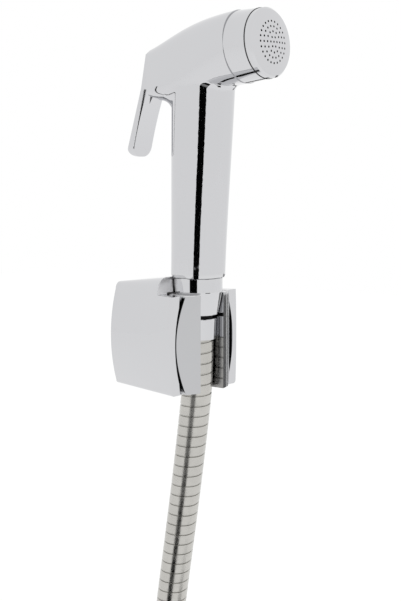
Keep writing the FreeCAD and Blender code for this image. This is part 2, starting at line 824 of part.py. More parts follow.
# Points that the hose passes, as side, forward and height, from the ferrule to the coil
ROUTE = (
    (0.0, shower_forward, ferrule_bottom),
    (0.0, shower_forward, -21.0),
    (0.0, 39.4, -42.0),
    (0.0, 35.0, -73.0),
    (0.0, 30.0, -105.0),
    (0.0, 24.8, -137.0),
    (0.0, 20.2, -169.0),
    (0.0, 17.6, -201.0),
    (0.0, 16.6, -231.5),
    (0.0, 16.5, -262.0),
)

coil_centre_z = ROUTE[-1][2]
coil_pitch = 2 * hose_radius + coil_strand_gap
coil_back = ROUTE[-1][1] - hose_radius
coil_depth = coil_turns * coil_pitch + 2 * hose_radius
tail_forward = ROUTE[-1][1] + coil_turns * coil_pitch
tail_end = coil_centre_z - hose_tail


def rounded_path(points):
    """Straight runs joined by tangent arcs as large as the runs allow."""
    stops = [at(*point) for point in points]
    edges = []
    start = stops[0]
    for before, corner, after in zip(stops, stops[1:], stops[2:]):
        back = before - corner
        ahead = after - corner
        half_turn = (math.pi - back.getAngle(ahead)) / 2
        cut = 0.45 * min(back.Length, ahead.Length)
        radius = cut / math.tan(half_turn)
        print("hose bend radius", round(radius, 1))
        back.normalize()
        ahead.normalize()
        first = corner + back * cut
        last = corner + ahead * cut
        inward = back + ahead
        inward.normalize()
        middle = corner + inward * (radius / math.cos(half_turn) - radius)
        edges.append(Part.LineSegment(start, first).toShape())
        edges.append(Part.Arc(first, middle, last).toShape())
        start = last
    edges.append(Part.LineSegment(start, stops[-1]).toShape())
    return Part.Wire(edges)


def make_hose_coil():
    """Closed solid of the coil's outer shape, one ring as deep as its turns."""
    centre = at(coil_ring_radius, coil_back, coil_centre_z)
    return pipe(coil_ring_radius + hose_radius, coil_ring_radius - hose_radius, coil_depth, centre, FORWARD)


def make_hose():
    """Hose from the ferrule down to the coil."""
    path = rounded_path(ROUTE)
    start = at(*ROUTE[0])
    section = Part.Wire(Part.makeCircle(hose_radius, start, path.Edges[0].tangentAt(0)))
    tube = path.makePipeShell([section], True, True)
    print("hose length to the coil", round(path.Length, 1))
    swept = math.pi * hose_radius**2 * path.Length
    print("hose volume over section times length", round(tube.Volume / swept, 4))
    turns_length = coil_turns * math.hypot(2 * math.pi * coil_ring_radius, coil_pitch)
    print("whole hose", round(path.Length + turns_length + hose_tail, 1))
    return tube.cut(make_hose_coil())


def make_hose_tail():
    """Last straight stretch of the hose, from the coil to the far ferrule."""
    tail = rod(hose_radius, hose_tail, at(0, tail_forward, tail_end), UP)
    return tail.cut(make_hose_coil())


def make_coil_tie():
    """Strap that holds the coil's turns together at its foot."""
    low = coil_centre_z - coil_ring_radius - hose_radius - tie_fit
    high = coil_centre_z - coil_ring_radius + hose_radius + tie_fit
    back = coil_back - tie_fit
    front = coil_back + coil_depth + tie_fit
    skin = tie_thickness
    outer = block(tie_width / 2, back - skin, front + skin, low - skin, high + skin)
    tie = outer.cut(block(tie_width, back, front, low, high))
    tie.translate(V(coil_ring_radius, 0, 0))
    return tie


def make_hose_ferrule_end():
    """Ferrule, neck and flange at the far end of the hose."""
    neck_top = tail_end - end_ferrule_length
    neck_bottom = neck_top - nut_floor - 2 * end_flange_play
    profile = (
        (hose_bore, tail_end),
        (end_ferrule_radius, tail_end),
        (end_ferrule_radius, neck_top + end_edge),
        (end_ferrule_radius - end_edge, neck_top),
        (end_neck_radius, neck_top),
        (end_neck_radius, neck_bottom),
        (end_flange_radius, neck_bottom),
        (end_flange_radius, neck_bottom - end_flange_thickness),
        (hose_bore, neck_bottom - end_flange_thickness),
    )
    return turned(profile, tail_forward)


def make_hose_nut_end():
    """Loose hexagon nut that screws onto the angle valve."""
    top = tail_end - end_ferrule_length - end_flange_play
    height = nut_floor + nut_chamber_depth + nut_thread_depth
    low = top - height
    foot = at(0, tail_forward, low)
    corner_radius = nut_across_flats / math.sqrt(3)
    corners = []
    for index in range(6):
        angle = math.pi / 3 * index
        across = corner_radius * math.sin(angle)
        corners.append(at(across, tail_forward + corner_radius * math.cos(angle), low))
    hexagon = Part.Face(Part.makePolygon(corners + corners[:1])).extrude(V(0, 0, height))
    chamfer = (corner_radius - nut_across_flats / 2) * math.tan(math.radians(30))
    barrel = turned((
        (0, low),
        (nut_across_flats / 2, low),
        (corner_radius, low + chamfer),
        (corner_radius, top - chamfer),
        (nut_across_flats / 2, top),
        (0, top),
    ), tail_forward)
    nut = hexagon.common(barrel)
    nut = nut.cut(rod(end_neck_radius + end_neck_fit, height, foot, UP))
    nut = nut.cut(rod(nut_chamber_radius, height - nut_floor, foot, UP))
    return nut.cut(rod(thread_radius, nut_thread_depth, foot, UP))


def make_hose_washer_end():
    """Rubber washer inside the loose nut, against the ferrule's flange."""
    neck_bottom = tail_end - end_ferrule_length - nut_floor - 2 * end_flange_play
    start = at(0, tail_forward, neck_bottom - end_flange_thickness - washer_thickness)
    return pipe(end_washer_edge, washer_hole, washer_thickness, start, UP)


def main():
    """Writes every piece to its own file."""
    os.makedirs("parts", exist_ok=True)
    for name, make in PIECES.items():
        export(name, make())


PIECES = {
    "holder_body": make_holder_body,
    "holder_fork": make_holder_fork,
    "wall_plate": make_wall_plate,
    "grub_screw": make_grub_screw,
    "handset_body": make_handset_body,
    "head_band": make_head_band,
    "spray_cap": make_spray_cap,
    "flow_disc": make_flow_disc,
    "cap_seal": make_cap_seal,
    "valve_body": make_valve_body,
    "valve_bonnet": make_valve_bonnet,
    "valve_stem": make_valve_stem,
    "valve_seal": make_valve_seal,
    "stem_ring": make_stem_ring,
    "valve_spring": make_valve_spring,
    "lever": make_lever,
    "lever_pin": make_lever_pin,
    "inlet_connector": make_inlet_connector,
    "check_valve": make_check_valve,
    "check_poppet": make_check_poppet,
    "inlet_filter": make_inlet_filter,
    "hose_nut_top": make_hose_nut_top,
    "hose_ferrule_top": make_hose_ferrule_top,
    "hose_washer_top": make_hose_washer_top,
    "hose": make_hose,
    "hose_coil": make_hose_coil,
    "hose_tail": make_hose_tail,
    "coil_tie": make_coil_tie,
    "hose_ferrule_end": make_hose_ferrule_end,
    "hose_nut_end": make_hose_nut_end,
    "hose_washer_end": make_hose_washer_end,
}

main()
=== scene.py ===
# Looks of the handheld bidet shower on its wall holder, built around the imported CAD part.
# Metres. +Z up, the wall is the plane Y = 0 and the shower stands on its -Y side.
import bisect
import bmesh
import bpy
import math
from mathutils import Matrix, Vector


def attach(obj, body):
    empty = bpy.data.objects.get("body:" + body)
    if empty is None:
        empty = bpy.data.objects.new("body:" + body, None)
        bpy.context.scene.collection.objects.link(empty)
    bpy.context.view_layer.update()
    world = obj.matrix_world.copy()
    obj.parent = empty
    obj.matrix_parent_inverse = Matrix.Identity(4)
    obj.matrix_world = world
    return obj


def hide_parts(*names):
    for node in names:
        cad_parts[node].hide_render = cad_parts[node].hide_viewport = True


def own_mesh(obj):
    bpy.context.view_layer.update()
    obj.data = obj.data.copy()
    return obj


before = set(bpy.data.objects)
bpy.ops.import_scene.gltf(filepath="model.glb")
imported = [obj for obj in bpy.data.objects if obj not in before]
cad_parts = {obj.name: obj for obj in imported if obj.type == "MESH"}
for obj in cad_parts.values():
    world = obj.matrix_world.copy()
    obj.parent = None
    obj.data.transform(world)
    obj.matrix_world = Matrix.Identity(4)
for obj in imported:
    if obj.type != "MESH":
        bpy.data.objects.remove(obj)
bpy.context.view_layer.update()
bpy.context.scene.view_settings.view_transform = "Standard"


# Camera: a long lens from the left of the shower, higher than the holder and looking slightly down.
# Its three axes are given as they stand in the room, and its focal length in pixels of the picture.
def add_object(name, data):
    """New object in the scene, at the origin."""
    item = bpy.data.objects.new(name, data)
    bpy.context.scene.collection.objects.link(item)
    return item


sensor_width = 36.0
focal_length = 1350.0
picture_height = 601.0
camera_data = bpy.data.cameras.new("camera")
camera_data.sensor_width = sensor_width
camera_data.lens = sensor_width * focal_length / picture_height
camera_data.clip_start = 0.01
camera = add_object("camera", camera_data)
camera_place = Vector((-0.5124, -0.4438, 0.0905))
camera_right = Vector((0.6157, -0.7880, 0.0))
camera_back = Vector((-0.7830, -0.6117, 0.1132))
camera_up = camera_back.cross(camera_right)
camera_turn = Matrix((camera_right, camera_up, camera_back)).transposed()
camera.matrix_world = Matrix.Translation(camera_place) @ camera_turn.to_4x4()
bpy.context.scene.camera = camera


# Room: white to the eye, in mirrors and through clear pieces, and a plain grey light on what isn't
# shiny. The chrome then mirrors plain white, apart from the cards, the floor and its own neighbours.
def ray_is(tree, *kinds):
    """1 for a ray of any of these kinds, and 0 for the others."""
    path = tree.nodes.new("ShaderNodeLightPath")
    found = path.outputs[kinds[0]]
    for kind in kinds[1:]:
        either = tree.nodes.new("ShaderNodeMath")
        either.operation = "MAXIMUM"
        tree.links.new(found, either.inputs[0])
        tree.links.new(path.outputs[kind], either.inputs[1])
        found = either.outputs[0]
    return found


world = bpy.data.worlds.new("room")
bpy.context.scene.world = world
world.use_nodes = True
room = world.node_tree
room.nodes.clear()
plain = room.nodes.new("ShaderNodeBackground")
plain.inputs["Color"].default_value = (0.9, 0.9, 0.9, 1)
plain.inputs["Strength"].default_value = 0.75
white = room.nodes.new("ShaderNodeBackground")
white.inputs["Color"].default_value = (1, 1, 1, 1)
white.inputs["Strength"].default_value = 1.0
mixer = room.nodes.new("ShaderNodeMixShader")
world_out = room.nodes.new("ShaderNodeOutputWorld")
room.links.new(ray_is(room, "Is Camera Ray", "Is Transmission Ray", "Is Glossy Ray"), mixer.inputs["Fac"])
room.links.new(plain.outputs[0], mixer.inputs[1])
room.links.new(white.outputs[0], mixer.inputs[2])
room.links.new(mixer.outputs[0], world_out.inputs["Surface"])

# Lamps: one broad soft lamp from the camera's side and a weaker one from the right.
# Mirrors don't show them, so they leave no bright squares on the chrome.
lamp_size = 0.9
lamp_target = Vector((0, -0.04, 0.02))
for name, place, power in (("key", (-0.9, -0.8, 1.0), 9.0), ("fill", (0.9, -0.7, 0.5), 4.0)):
    lamp_data = bpy.data.lights.new(name, "AREA")
    lamp_data.shape = "SQUARE"
    lamp_data.size = lamp_size
    lamp_data.energy = power
    lamp = add_object(name, lamp_data)
    lamp.location = place
    lamp.rotation_euler = (lamp_target - Vector(place)).to_track_quat("-Z", "Y").to_euler()
    lamp.visible_glossy = False
    lamp.visible_camera = False

# Floor: a pale sheet 3 mm under the loose nut, which is the lowest piece. To the eye and in mirrors
# it is close to white, and it still takes a faint shadow.
floor_height = -0.3535
floor_reach = 3.0
floor_whiteness = 1.07
floor_white_share = 0.85
floor_mesh = bpy.data.meshes.new("floor")
bm = bmesh.new()
bmesh.ops.create_grid(bm, x_segments=2, y_segments=2, size=floor_reach,
                      matrix=Matrix.Translation((0, 0, floor_height)))
bm.to_mesh(floor_mesh)
bm.free()
floor = add_object("floor", floor_mesh)
floor_paper = bpy.data.materials.new("floor_paper")
floor_paper.use_nodes = True
tree = floor_paper.node_tree
bsdf = tree.nodes["Principled BSDF"]
bsdf.inputs["Base Color"].default_value = (0.95, 0.95, 0.95, 1)
bsdf.inputs["Roughness"].default_value = 0.9
glow = tree.nodes.new("ShaderNodeEmission")
glow.inputs["Color"].default_value = (1, 1, 1, 1)
glow.inputs["Strength"].default_value = floor_whiteness
glow_share = tree.nodes.new("ShaderNodeMath")
glow_share.operation = "MULTIPLY"
glow_share.inputs[1].default_value = floor_white_share
tree.links.new(ray_is(tree, "Is Camera Ray", "Is Glossy Ray"), glow_share.inputs[0])
paper = tree.nodes.new("ShaderNodeMixShader")
tree.links.new(glow_share.outputs[0], paper.inputs["Fac"])
tree.links.new(bsdf.outputs[0], paper.inputs[1])
tree.links.new(glow.outputs[0], paper.inputs[2])
tree.links.new(paper.outputs[0], tree.nodes["Material Output"].inputs["Surface"])
floor_mesh.materials.append(floor_paper)


# Cards: a tall black one behind the camera and to its left, which the chrome shows as a narrow upright
# stripe, dimmer low down. Its foot along the floor carries the stripe round the neck. Smaller ones
# darken the fork's right side, the head's underside and the lever's side. Only mirrors see them.
def card_paint(name, grey, shine):
    """Matt paint for a card."""
    paint = bpy.data.materials.new(name)
    paint.use_nodes = True
    bsdf = paint.node_tree.nodes["Principled BSDF"]
    bsdf.inputs["Base Color"].default_value = (grey, grey, grey, 1)
    bsdf.inputs["Roughness"].default_value = 1.0
    bsdf.inputs["Specular IOR Level"].default_value = shine
    return paint


def add_card(name, paint, corners):
    """Flat card through four corners, seen only in mirrors."""
    mesh = bpy.data.meshes.new(name)
    bm = bmesh.new()
    bm.faces.new([bm.verts.new(corner) for corner in corners])
    bm.to_mesh(mesh)
    bm.free()
    card = add_object(name, mesh)
    mesh.materials.append(paint)
    card.visible_camera = False
    card.visible_diffuse = False
    card.visible_shadow = False


def out_from_wall(way, spot):
    """Point in a level direction from the wall's middle line, at a distance and a height."""
    distance, height = spot
    return way * distance + Vector((0, 0, height))


def beside_fork(turn, height):
    """Point to the right of the fork, at a turn in degrees and a height."""
    angle = math.radians(turn)
    across = fork_card_reach * math.cos(angle)
    return Vector((across, fork_card_reach * math.sin(angle) + fork_card_y, height))


black_card = card_paint("black_card", grey=0.002, shine=0.0)
grey_card = card_paint("grey_card", grey=0.17, shine=0.5)
dim_card = card_paint("dim_card", grey=0.25, shine=0.5)
towards_camera = Vector((camera_right.y, -camera_right.x, 0))
card_left = Matrix.Rotation(math.radians(-38.0), 3, "Z") @ towards_camera
card_right = Matrix.Rotation(math.radians(-3.0), 3, "Z") @ towards_camera
low = -0.352
flag_top = (1.6, 0.22)
flag_middle = (1.6, -0.2)
flag_foot = (1.6, low)
foot_middle = (0.75, low)
foot_end = (0.25, low)
for name, paint, start, end in (
    ("flag", black_card, flag_middle, flag_top),
    ("flag_low", dim_card, flag_foot, flag_middle),
    ("foot_far", dim_card, flag_foot, foot_middle),
    ("foot_near", black_card, foot_middle, foot_end),
):
    add_card(name, paint, (
        out_from_wall(card_left, start),
        out_from_wall(card_right, start),
        out_from_wall(card_right, end),
        out_from_wall(card_left, end),
    ))
add_card("neck_card", black_card, (
    (-0.02, -0.15, low),
    (0.14, -0.15, low),
    (0.14, -0.35, low),
    (-0.02, -0.35, low),
))
wall_card_y = -0.0002
wall_card_low = 0.086
wall_card_high = 0.119
add_card("wall_card", black_card, (
    (-0.0148, wall_card_y, wall_card_low),
    (-0.0134, wall_card_y, wall_card_low),
    (-0.0228, wall_card_y, wall_card_high),
    (-0.0243, wall_card_y, wall_card_high),
))
fork_card_reach = 0.5
fork_card_y = -0.045
fork_card_low = -0.120
fork_card_high = -0.034
for name, first_turn, last_turn in (
    ("side_card", -15.0, 2.0),
    ("side_card_narrow", 4.0, 10.0),
    ("side_card_far", 13.0, 34.0),
):
    add_card(name, grey_card, (
        beside_fork(first_turn, fork_card_low),
        beside_fork(last_turn, fork_card_low),
        beside_fork(last_turn, fork_card_high),
        beside_fork(first_turn, fork_card_high),
    ))


# Polish marks: the faint waviness that plated, moulded and drawn surfaces have.
# The group gives a normal with that waviness and the same noise as wear, for the roughness.
def pattern(tree, kind, **amounts):
    """Texture in the piece's own coordinates, with its amounts set by name."""
    texture = tree.nodes.new(kind)
    for name, amount in amounts.items():
        texture.inputs[name].default_value = amount
    place = tree.nodes.new("ShaderNodeTexCoord")
    tree.links.new(place.outputs["Object"], texture.inputs["Vector"])
    return texture


polish = bpy.data.node_groups.new("polish_marks", "ShaderNodeTree")
polish.interface.new_socket("Scale", in_out="INPUT", socket_type="NodeSocketFloat")
polish.interface.new_socket("Strength", in_out="INPUT", socket_type="NodeSocketFloat")
polish.interface.new_socket("Normal", in_out="OUTPUT", socket_type="NodeSocketVector")
polish.interface.new_socket("Wear", in_out="OUTPUT", socket_type="NodeSocketFloat")
inside = polish.nodes.new("NodeGroupInput")
outside = polish.nodes.new("NodeGroupOutput")
wave = pattern(polish, "ShaderNodeTexNoise", Detail=3.0)
polish.links.new(inside.outputs["Scale"], wave.inputs["Scale"])
bump = polish.nodes.new("ShaderNodeBump")
bump.inputs["Distance"].default_value = 0.0004
polish.links.new(wave.outputs[0], bump.inputs["Height"])
polish.links.new(inside.outputs["Strength"], bump.inputs["Strength"])
polish.links.new(bump.outputs[0], outside.inputs["Normal"])
polish.links.new(wave.outputs[0], outside.inputs["Wear"])

# Crevice shade: painted shade in joints and inner corners, where other surfaces crowd in close.
# The group gives 1 on open surfaces and falls in a joint narrower than its reach.
crevice = bpy.data.node_groups.new("crevice_shade", "ShaderNodeTree")
crevice.interface.new_socket("Reach", in_out="INPUT", socket_type="NodeSocketFloat")
crevice.interface.new_socket("Open", in_out="OUTPUT", socket_type="NodeSocketFloat")
inside = crevice.nodes.new("NodeGroupInput")
outside = crevice.nodes.new("NodeGroupOutput")
nearness = crevice.nodes.new("ShaderNodeAmbientOcclusion")
nearness.samples = 8
crevice.links.new(inside.outputs["Reach"], nearness.inputs["Distance"])
open_share = crevice.nodes.new("ShaderNodeMapRange")
open_share.inputs["From Min"].default_value = 0.15
open_share.inputs["From Max"].default_value = 0.7
crevice.links.new(nearness.outputs["AO"], open_share.inputs["Value"])
crevice.links.new(open_share.outputs[0], outside.inputs["Open"])


# Chromed outer pieces: bright plating on brass and zinc, with a thin film and faint water marks.
# Shade is painted into the colour in the joints between the pieces, where hardly any light comes back out
# of them.
def new_surface(name, metallic, marks_scale, marks_strength, smooth, rough):
    """Material with polish marks for its bump and wear between two roughnesses."""
    material = bpy.data.materials.new(name)
    material.use_nodes = True
    tree = material.node_tree
    bsdf = tree.nodes["Principled BSDF"]
    bsdf.inputs["Metallic"].default_value = metallic
    marks = tree.nodes.new("ShaderNodeGroup")
    marks.name = "marks"
    marks.node_tree = polish
    marks.inputs["Scale"].default_value = marks_scale
    marks.inputs["Strength"].default_value = marks_strength
    film = tree.nodes.new("ShaderNodeMapRange")
    film.inputs["From Min"].default_value = 0.3
    film.inputs["From Max"].default_value = 0.7
    film.inputs["To Min"].default_value = smooth
    film.inputs["To Max"].default_value = rough
    tree.links.new(marks.outputs["Wear"], film.inputs["Value"])
    tree.links.new(film.outputs[0], bsdf.inputs["Roughness"])
    tree.links.new(marks.outputs["Normal"], bsdf.inputs["Normal"])
    return material, tree, bsdf


def two_tones(tree, mask, first, second):
    """Colour that changes between two tones with a mask."""
    mix = tree.nodes.new("ShaderNodeMix")
    mix.name = "two_tones"
    mix.data_type = "RGBA"
    mix.inputs["A"].default_value = first
    mix.inputs["B"].default_value = second
    tree.links.new(mask, mix.inputs["Factor"])
    return mix.outputs["Result"]


def painted_joint_shade(tree, colour, reach):
    """The colour with painted shade, nearly black, in joints narrower than the reach."""
    joints = tree.nodes.new("ShaderNodeGroup")
    joints.node_tree = crevice
    joints.inputs["Reach"].default_value = reach
    mix = tree.nodes.new("ShaderNodeMix")
    mix.data_type = "RGBA"
    mix.inputs["A"].default_value = (0.012, 0.012, 0.013, 1)
    tree.links.new(joints.outputs["Open"], mix.inputs["Factor"])
    tree.links.new(colour, mix.inputs["B"])
    return mix.outputs["Result"]


def dress(material, *names):
    """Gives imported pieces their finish."""
    for name in names:
        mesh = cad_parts[name].data
        mesh.materials.clear()
        mesh.materials.append(material)


plating_dark = (0.605, 0.608, 0.625, 1)
plating_light = (0.63, 0.632, 0.645, 1)
chrome, tree, bsdf = new_surface("chrome", metallic=1.0, marks_scale=30.0, marks_strength=0.003,
                                 smooth=0.03, rough=0.07)
spots = pattern(tree, "ShaderNodeTexNoise", Scale=14.0, Detail=4.0)
plating = two_tones(tree, spots.outputs[0], plating_dark, plating_light)
# Painted shade: the plating turns nearly black in joints.
tree.links.new(painted_joint_shade(tree, plating, reach=0.0016), bsdf.inputs["Base Color"])
dress(chrome, "head_band", "spray_cap", "lever", "inlet_connector", "hose_ferrule_end", "hose_nut_end")


# Holder shell: zinc casting, polished and chromed outside. The inside of its hood is shown satin.
# That is a guess, so that the nut and fork mirrored in it don't crowd the opening, as they don't
# in the photograph. It is also painted paler than the plating and left without the joint shade: painted
# light.
def repaint(material, mask, colour, roughness):
    """Shows another colour and roughness where the mask is 1."""
    tree = material.node_tree
    bsdf = tree.nodes["Principled BSDF"]
    for socket, kind, value in (("Base Color", "RGBA", colour), ("Roughness", "FLOAT", roughness)):
        before = bsdf.inputs[socket].links[0].from_socket
        mix = tree.nodes.new("ShaderNodeMix")
        mix.data_type = kind
        mix.inputs["B"].default_value = value
        tree.links.new(mask(tree), mix.inputs["Factor"])
        tree.links.new(before, mix.inputs["A"])
        tree.links.new(mix.outputs["Result"], bsdf.inputs[socket])


def calculate(tree, operation, first, second):
    """Arithmetic on two sockets or numbers."""
    node = tree.nodes.new("ShaderNodeMath")
    node.operation = operation
    for socket, value in zip(node.inputs, (first, second)):
        if isinstance(value, bpy.types.NodeSocket):
            tree.links.new(value, socket)
        else:
            socket.default_value = value
    return node.outputs[0]


def place_parts(tree):
    """The three coordinates of the surface point, in metres."""
    place = tree.nodes.new("ShaderNodeTexCoord")
    split = tree.nodes.new("ShaderNodeSeparateXYZ")
    tree.links.new(place.outputs["Object"], split.inputs[0])
    return split.outputs


def hood_inside(tree):
    """1 on the hood's forward face and on its wall round the nut, above the fork."""
    across, depth, height = place_parts(tree)
    facing = tree.nodes.new("ShaderNodeNewGeometry")
    normal = tree.nodes.new("ShaderNodeSeparateXYZ")
    tree.links.new(facing.outputs["Normal"], normal.inputs[0])
    above_fork = calculate(tree, "GREATER_THAN", height, hood_low)
    forward_face = calculate(tree, "LESS_THAN", normal.outputs[1], forward_limit)
    from_nut = calculate(tree, "SUBTRACT", depth, nut_axis_y)
    across_square = calculate(tree, "MULTIPLY", across, across)
    depth_square = calculate(tree, "MULTIPLY", from_nut, from_nut)
    square = calculate(tree, "ADD", across_square, depth_square)
    round_the_nut = calculate(tree, "LESS_THAN", square, hood_radius**2)
    return calculate(tree, "MULTIPLY", above_fork, calculate(tree, "MAXIMUM", forward_face, round_the_nut))


hood_low = 0.0203
hood_radius = 0.0135
nut_axis_y = -0.042
forward_limit = -0.4
shell_chrome = chrome.copy()
shell_chrome.name = "chrome_shell"
# Painted light: the hood's inside is paler than the plating and gets no joint shade.
repaint(shell_chrome, hood_inside, colour=(0.93, 0.93, 0.94, 1), roughness=0.42)
dress(shell_chrome, "holder_body")


# Holder fork: chromed insert with the conical seat. Between it and the shell is a real gap of 0.8 mm.
# A mask paints shade, nearly black, on the fork's edge beside the gap, so that the seam reads as one line
# as photographed, and another shows its top face dull and paler, painted light without the painted joint
# shade.
def seam_edge(tree):
    """1 in a narrow band along both barrel-shaped side edges of the fork."""
    across, _, height = place_parts(tree)
    level = calculate(tree, "DIVIDE", calculate(tree, "SUBTRACT", height, fork_middle), fork_half_height)
    barrel = calculate(tree, "MULTIPLY", calculate(tree, "MULTIPLY", level, level), fork_barrel)
    edge = calculate(tree, "SUBTRACT", fork_half_width - seam_width, barrel)
    return calculate(tree, "GREATER_THAN", calculate(tree, "ABSOLUTE", across, 0.0), edge)


def fork_top(tree):
    """1 on the fork's top face."""
    return calculate(tree, "GREATER_THAN", place_parts(tree)[2], fork_top_height)


fork_half_width = 0.02166
fork_half_height = 0.0233
fork_middle = -0.0035
fork_barrel = 0.0041
fork_top_height = 0.0199
seam_width = 0.0006
# Painted shade, nearly black, for the edges of real gaps.
painted_gap_shade = (0.015, 0.015, 0.016, 1)
gap_roughness = 0.5
fork_chrome = chrome.copy()
fork_chrome.name = "chrome_fork"
# Painted shade: the fork's plating is toned darker than the other chrome.
fork_tones = fork_chrome.node_tree.nodes["two_tones"]
fork_tones.inputs["A"].default_value = (0.505, 0.508, 0.52, 1)
fork_tones.inputs["B"].default_value = (0.53, 0.533, 0.545, 1)
# Painted shade along the fork's edge beside the seam.
repaint(fork_chrome, seam_edge, painted_gap_shade, gap_roughness)
# Painted light: the fork's top face is paler and duller, and gets no joint shade.
repaint(fork_chrome, fork_top, colour=(0.75, 0.75, 0.76, 1), roughness=0.4)
dress(fork_chrome, "holder_fork")


# Top nut: chromed brass with a smooth cone. Two masks follow the photograph and stand for no real finish:
# its back inside the hood is shown dull, and the band at the grip plain; neither gets the painted joint
# shade.
def nut_back(tree):
    """1 on the side of the nut that faces the wall, above the fork."""
    _, depth, height = place_parts(tree)
    behind = calculate(tree, "GREATER_THAN", depth, nut_back_y)
    return calculate(tree, "MULTIPLY", behind, calculate(tree, "GREATER_THAN", height, nut_back_low))


def grip_joint(tree):
    """1 in a band round the joint between the grip and the nut."""
    height = place_parts(tree)[2]
    over_low = calculate(tree, "GREATER_THAN", height, joint_low)
    return calculate(tree, "MULTIPLY", over_low, calculate(tree, "LESS_THAN", height, joint_high))


nut_back_y = -0.0375
nut_back_low = 0.0195
joint_low = 0.0262
joint_high = 0.0300
open_plating = (0.625, 0.628, 0.64, 1)
open_roughness = 0.05
nut_chrome = chrome.copy()
nut_chrome.name = "chrome_nut"
repaint(nut_chrome, grip_joint, open_plating, open_roughness)
repaint(nut_chrome, nut_back, colour=(0.66, 0.66, 0.67, 1), roughness=0.36)
dress(nut_chrome, "hose_nut_top")

# Hand shower's body: grip and head, cast in one and chromed. The photograph shows no line where the
# grip meets the nut, so the painted joint shade is left out there. The joint itself is in the shape.
body_chrome = chrome.copy()
body_chrome.name = "chrome_body"
repaint(body_chrome, grip_joint, open_plating, open_roughness)
dress(body_chrome, "handset_body")


# Top ferrule: chromed like the nut. A mask paints shade, nearly black, on the neck in the real gap under
# the nut, so that the gap reads as the black line in the photograph.
def ferrule_neck(tree):
    """1 on the ferrule's neck under the nut."""
    return calculate(tree, "GREATER_THAN", place_parts(tree)[2], neck_low)


neck_low = 0.0079
ferrule_chrome = chrome.copy()
ferrule_chrome.name = "chrome_ferrule"
# Painted shade on the neck under the nut.
repaint(ferrule_chrome, ferrule_neck, painted_gap_shade, gap_roughness)
dress(ferrule_chrome, "hose_ferrule_top")

# Wall plate: zinc casting behind the shell, left rough from the mould, with the spangle of bare zinc.
# Two screws hold it on the wall, and the set screw locks the shell to it from below.
zinc_dark = (0.36, 0.37, 0.39, 1)
zinc_light = (0.5, 0.51, 0.52, 1)
zinc, tree, bsdf = new_surface("cast_zinc", metallic=0.85, marks_scale=260.0, marks_strength=0.25,
                               smooth=0.38, rough=0.55)
spangle = pattern(tree, "ShaderNodeTexVoronoi", Scale=320.0)
shade = tree.nodes.new("ShaderNodeSeparateColor")
tree.links.new(spangle.outputs["Color"], shade.inputs["Color"])
tree.links.new(two_tones(tree, shade.outputs["Red"], zinc_dark, zinc_light), bsdf.inputs["Base Color"])
dress(zinc, "wall_plate")

# Turned marks: the fine rings that a lathe leaves on pins, screws and stems, which are close to
# the lines on drawn wire. The group gives a mask of lines across the chosen axis.
turning = bpy.data.node_groups.new("turning_marks", "ShaderNodeTree")
turning.interface.new_socket("Stretch", in_out="INPUT", socket_type="NodeSocketVector")
turning.interface.new_socket("Lines", in_out="OUTPUT", socket_type="NodeSocketFloat")
inside = turning.nodes.new("NodeGroupInput")
outside = turning.nodes.new("NodeGroupOutput")
place = turning.nodes.new("ShaderNodeTexCoord")
stretched = turning.nodes.new("ShaderNodeVectorMath")
stretched.operation = "MULTIPLY"
turning.links.new(place.outputs["Object"], stretched.inputs[0])
turning.links.new(inside.outputs["Stretch"], stretched.inputs[1])
lines = turning.nodes.new("ShaderNodeTexNoise")
lines.inputs["Scale"].default_value = 1.0
lines.inputs["Detail"].default_value = 2.0
turning.links.new(stretched.outputs[0], lines.inputs["Vector"])
turning.links.new(lines.outputs[0], outside.inputs["Lines"])

# Stainless pieces: the lever's pin and the holder's set screw are turned from bar, the valve's spring
# is drawn wire and the strainer is pressed sheet. They keep a grey, slightly brushed skin.
steel_dark = (0.42, 0.42, 0.43, 1)
steel_light = (0.62, 0.61, 0.6, 1)
steel, tree, bsdf = new_surface("stainless_steel", metallic=1.0, marks_scale=400.0, marks_strength=0.06,
                                smooth=0.18, rough=0.32)
rings = tree.nodes.new("ShaderNodeGroup")
rings.node_tree = turning
rings.inputs["Stretch"].default_value = (6000.0, 300.0, 300.0)
tree.links.new(two_tones(tree, rings.outputs["Lines"], steel_dark, steel_light), bsdf.inputs["Base Color"])
dress(steel, "lever_pin", "grub_screw", "valve_spring", "inlet_filter")

# Valve spring: stainless wire between the stem's collar and the floor of the valve's chamber.
# Pressing the lever shortens it by the stem's travel; here the coils are left at rest.
# The coils are a copy of the imported spring and keep its steel.
spring_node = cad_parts["valve_spring"]
spring_coils = add_object("spring_coils", spring_node.data.copy())
spring_coils.data.transform(spring_node.matrix_world)
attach(spring_coils, "set")
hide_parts("valve_spring")
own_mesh(spring_coils)

# Brass pieces of the valve: the stem and the bonnet that guides it. They are turned and unplated,
# and a little browned where the water stands.
brass_dark = (0.62, 0.43, 0.2, 1)
brass_light = (0.82, 0.64, 0.34, 1)
brass_stain = (0.34, 0.2, 0.09, 1)
brass, tree, bsdf = new_surface("valve_brass", metallic=1.0, marks_scale=180.0, marks_strength=0.08,
                                smooth=0.2, rough=0.38)
rings = tree.nodes.new("ShaderNodeGroup")
rings.node_tree = turning
rings.inputs["Stretch"].default_value = (300.0, 5000.0, 300.0)
turned = two_tones(tree, rings.outputs["Lines"], brass_dark, brass_light)
stain_mask = tree.nodes.new("ShaderNodeMapRange")
stain_mask.inputs["From Min"].default_value = 0.55
stain_mask.inputs["From Max"].default_value = 0.75
stain_mask.inputs["To Max"].default_value = 0.7
tree.links.new(tree.nodes["marks"].outputs["Wear"], stain_mask.inputs["Value"])
stained = tree.nodes.new("ShaderNodeMix")
stained.data_type = "RGBA"
stained.inputs["B"].default_value = brass_stain
tree.links.new(stain_mask.outputs[0], stained.inputs["Factor"])
tree.links.new(turned, stained.inputs["A"])
tree.links.new(stained.outputs["Result"], bsdf.inputs["Base Color"])
dress(brass, "valve_stem", "valve_bonnet")

